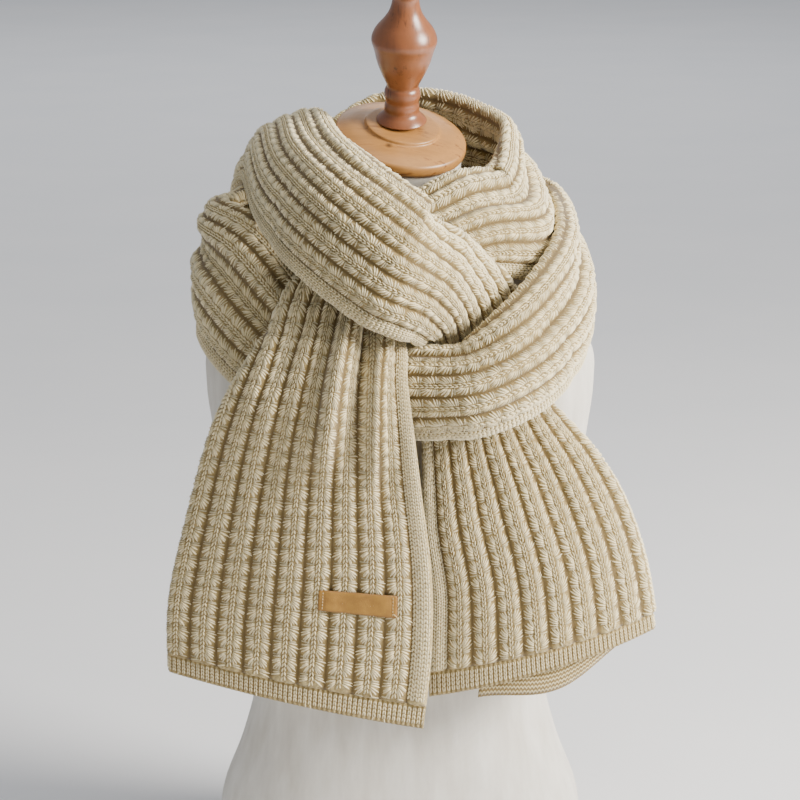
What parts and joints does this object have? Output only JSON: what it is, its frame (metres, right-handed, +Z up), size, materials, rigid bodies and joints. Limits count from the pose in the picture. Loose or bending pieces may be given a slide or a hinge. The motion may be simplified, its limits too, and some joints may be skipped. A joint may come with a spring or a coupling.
{
  "type": "knit scarf on a dress form",
  "caption": "Chunky cream rib-knit scarf, folded lengthwise and wound round the neck of a limbless dress form, with its tails crossed in front",
  "frame": {"origin": "middle of the flat underside of the dress form's base board", "axes": "+Z up, the front faces -Y, +X is the right-hand side seen from the front"},
  "size_m": [0.4049, 0.3255, 0.7747],
  "materials": {
    "wool_knit": "chunky wool blend knit, matt and soft with a light nap",
    "label_hide": "thin smooth imitation leather, bare, stitched at both ends",
    "form_cloth": "fine off-white woven cover, stretched smooth",
    "pale_wood": "turned light wood with a thin satin varnish",
    "red_wood": "turned reddish-brown wood with a satin varnish"
  },
  "bodies": {
    "root": {"left_tail": "wool_knit", "left_hem": "wool_knit", "right_collar": "wool_knit", "left_loop": "wool_knit", "lower_loop": "wool_knit", "back_wrap": "wool_knit", "diagonal_wrap": "wool_knit", "right_tail": "wool_knit", "right_hem": "wool_knit", "label_patch": "label_hide", "torso": "form_cloth", "neck_cap": "pale_wood", "base_board": "pale_wood", "finial": "red_wood"}
  },
  "joints": []
}
